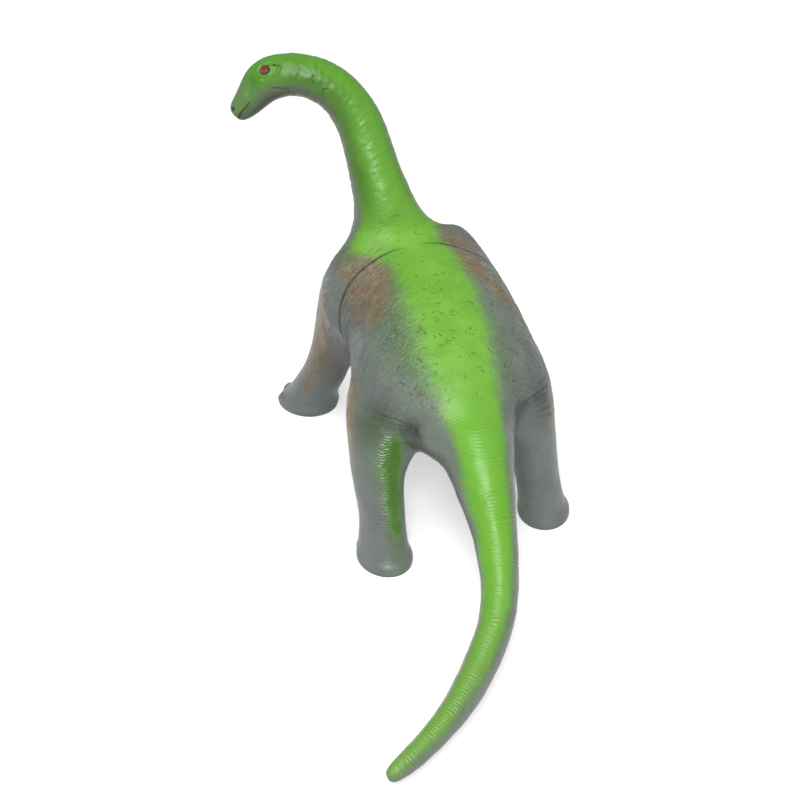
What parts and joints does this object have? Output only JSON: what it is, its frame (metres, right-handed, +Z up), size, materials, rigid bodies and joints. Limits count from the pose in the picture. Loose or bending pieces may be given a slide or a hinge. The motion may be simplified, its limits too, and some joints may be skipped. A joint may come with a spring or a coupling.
{
  "type": "toy dinosaur figure",
  "caption": "Soft vinyl long-necked dinosaur toy whose stuffed front and rear skins snap together behind the shoulders.",
  "frame": {"origin": "on the floor under the middle of the figure's bounding box", "axes": "+X the animal's left, -Y the way the chest faces, +Y the tail, +Z up"},
  "size_m": [0.2422, 0.5132, 0.3292],
  "materials": {
    "front_vinyl": "satin",
    "rear_vinyl": "satin",
    "fibre": "matte"
  },
  "bodies": {
    "rear_half": {"rear_skin": "rear_vinyl", "trunk_stuffing": "fibre", "left_hind_leg_stuffing": "fibre", "right_hind_leg_stuffing": "fibre", "tail_stuffing": "fibre"},
    "front_half": {"front_skin": "front_vinyl", "neck_stuffing": "fibre", "chest_stuffing": "fibre", "left_foreleg_stuffing": "fibre", "right_foreleg_stuffing": "fibre"}
  },
  "joints": [
    {"name": "chest_swivel", "type": "hinge", "parent": "rear_half", "child": "front_half", "pos_m": [-0.01771, -0.13438, 0.12402], "axis": [0, -0.9781, -0.2079], "range_deg": [-15, 15]}
  ]
}
